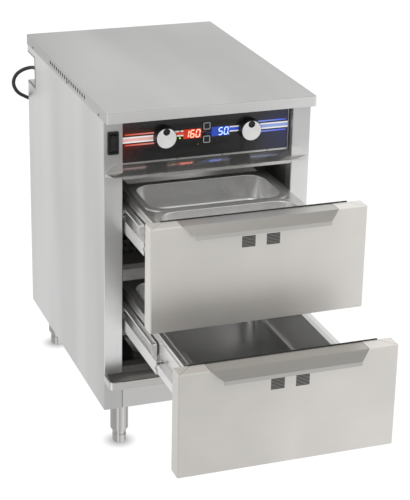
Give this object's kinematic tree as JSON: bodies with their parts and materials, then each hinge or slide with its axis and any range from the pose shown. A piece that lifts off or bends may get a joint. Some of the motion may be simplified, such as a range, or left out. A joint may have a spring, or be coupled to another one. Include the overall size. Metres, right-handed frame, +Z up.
{
  "type": "two-drawer heated holding cabinet",
  "caption": "Free-standing stainless food warmer with telescopic pull-out drawers, lift-out pans, a recessed control panel, a drip tray and adjustable legs.",
  "frame": {"origin": "centre of the bounding box in X and Y, on the floor under the feet, drawers open as stored", "axes": "+Z up, the front with its drawers faces -Y, +X to the right seen from the front"},
  "size_m": [0.5152, 1.3275, 0.816],
  "materials": {
    "brushed_stainless": "brushed",
    "satin_pan": "satin",
    "bright_slide": "bright",
    "steel_foot": "satin",
    "dark_overlay": "matt, printed",
    "display_window": "gloss",
    "lamp_lens": "clear",
    "dark_plastic": "semi-gloss",
    "knob_black": "semi-gloss with a spun metal disc",
    "encoder_metal": "plain",
    "heater_sheath": "heat-stained",
    "gasket_rubber": "matt",
    "cord_jacket": "matt",
    "plug_metal": "plated"
  },
  "bodies": {
    "cabinet": {"lid": "brushed_stainless", "lid_screws": "brushed_stainless", "side_panel_left": "brushed_stainless", "side_panel_right": "brushed_stainless", "back_panel": "brushed_stainless", "cord_recess": "brushed_stainless", "base_plate": "brushed_stainless", "front_apron": "brushed_stainless", "middle_rail": "brushed_stainless", "header": "brushed_stainless", "drip_visor": "brushed_stainless", "control_backplate": "brushed_stainless", "control_overlay": "dark_overlay", "display_temperature": "display_window", "display_humidity": "display_window", "status_lamps": "lamp_lens", "encoders": "encoder_metal", "switch_body": "dark_plastic", "cavity_liner": "brushed_stainless", "heater": "heater_sheath", "rails_upper": "bright_slide", "rails_lower": "bright_slide", "tray_brackets": "brushed_stainless", "legs": "brushed_stainless", "cord_gland": "dark_plastic", "cord": "cord_jacket", "cord_coil": "cord_jacket", "cord_tail": "cord_jacket", "plug": "cord_jacket", "plug_blades": "plug_metal"},
    "water_pan": {"water_pan": "brushed_stainless"},
    "pan_front": {"pan_front": "satin_pan"},
    "pan_rear": {"pan_rear": "satin_pan"},
    "pan_full": {"pan_full": "satin_pan"},
    "drip_tray": {"drip_tray": "brushed_stainless"},
    "key_up": {"key_up": "dark_plastic"},
    "key_down": {"key_down": "dark_plastic"},
    "rocker": {"rocker": "dark_plastic"},
    "knob_temperature": {"knob_temperature": "knob_black"},
    "knob_humidity": {"knob_humidity": "knob_black"},
    "drawer_upper": {"front_upper": "brushed_stainless", "front_liner_upper": "brushed_stainless", "gasket_upper": "gasket_rubber", "handle_upper": "brushed_stainless", "drawer_box_upper": "brushed_stainless", "pan_carrier_upper": "brushed_stainless", "drawer_slides_upper": "bright_slide"},
    "carriage_upper": {"carriages_upper": "bright_slide"},
    "drawer_lower": {"front_lower": "brushed_stainless", "front_liner_lower": "brushed_stainless", "gasket_lower": "gasket_rubber", "handle_lower": "brushed_stainless", "drawer_box_lower": "brushed_stainless", "pan_carrier_lower": "brushed_stainless", "drawer_slides_lower": "bright_slide"},
    "carriage_lower": {"carriages_lower": "bright_slide"},
    "foot_front_left": {"foot_front_left": "steel_foot"},
    "foot_front_right": {"foot_front_right": "steel_foot"},
    "foot_rear_left": {"foot_rear_left": "steel_foot"},
    "foot_rear_right": {"foot_rear_right": "steel_foot"}
  },
  "joints": [
    {"name": "drawer_upper_slide", "type": "slide", "parent": "cabinet", "child": "drawer_upper", "axis": [0, -1, 0], "range_m": [-0.2775, 0.2]},
    {"name": "carriage_upper_slide", "type": "slide", "parent": "cabinet", "child": "carriage_upper", "axis": [0, -1, 0], "range_m": [-0.13875, 0.1]},
    {"name": "drawer_lower_slide", "type": "slide", "parent": "cabinet", "child": "drawer_lower", "axis": [0, -1, 0], "range_m": [-0.455, 0.045]},
    {"name": "carriage_lower_slide", "type": "slide", "parent": "cabinet", "child": "carriage_lower", "axis": [0, -1, 0], "range_m": [-0.2275, 0.0225]},
    {"name": "pan_front_lift", "type": "slide", "parent": "drawer_upper", "child": "pan_front", "axis": [0, 0, 1], "range_m": [0, 0.04]},
    {"name": "pan_rear_lift", "type": "slide", "parent": "drawer_upper", "child": "pan_rear", "axis": [0, 0, 1], "range_m": [0, 0.04]},
    {"name": "pan_full_lift", "type": "slide", "parent": "drawer_lower", "child": "pan_full", "axis": [0, 0, 1], "range_m": [0, 0.04]},
    {"name": "water_pan_lift", "type": "slide", "parent": "cabinet", "child": "water_pan", "axis": [0, 0, 1], "range_m": [0, 0.04]},
    {"name": "drip_tray_slide", "type": "slide", "parent": "cabinet", "child": "drip_tray", "axis": [0, -1, 0], "range_m": [0, 0.05]},
    {"name": "knob_temperature_turn", "type": "hinge", "parent": "cabinet", "child": "knob_temperature", "pos_m": [-0.0975, -0.061, 0.742], "axis": [0, -1, 0], "continuous": true},
    {"name": "knob_humidity_turn", "type": "hinge", "parent": "cabinet", "child": "knob_humidity", "pos_m": [0.0975, -0.061, 0.742], "axis": [0, -1, 0], "continuous": true},
    {"name": "key_up_press", "type": "slide", "parent": "cabinet", "child": "key_up", "axis": [0, 1, 0], "range_m": [0, 0.0008], "stiffness_N_per_m": 600, "springref_m": -0.001},
    {"name": "key_down_press", "type": "slide", "parent": "cabinet", "child": "key_down", "axis": [0, 1, 0], "range_m": [0, 0.0008], "stiffness_N_per_m": 600, "springref_m": -0.001},
    {"name": "rocker_tilt", "type": "hinge", "parent": "cabinet", "child": "rocker", "pos_m": [-0.21625, -0.071, 0.742], "axis": [-1, 0, 0], "range_deg": [0, 18]},
    {"name": "foot_front_left_screw", "type": "hinge", "parent": "cabinet", "child": "foot_front_left", "pos_m": [-0.1875, -0.021, 0.016], "axis": [0, 0, 1], "continuous": true},
    {"name": "foot_front_right_screw", "type": "hinge", "parent": "cabinet", "child": "foot_front_right", "pos_m": [0.1875, -0.021, 0.016], "axis": [0, 0, 1], "continuous": true},
    {"name": "foot_rear_left_screw", "type": "hinge", "parent": "cabinet", "child": "foot_rear_left", "pos_m": [-0.1875, 0.531, 0.016], "axis": [0, 0, 1], "continuous": true},
    {"name": "foot_rear_right_screw", "type": "hinge", "parent": "cabinet", "child": "foot_rear_right", "pos_m": [0.1875, 0.531, 0.016], "axis": [0, 0, 1], "continuous": true}
  ],
  "couplings": [
    {"joint": "carriage_upper_slide", "follows": "drawer_upper_slide", "ratio": 0.5},
    {"joint": "carriage_lower_slide", "follows": "drawer_lower_slide", "ratio": 0.5}
  ]
}
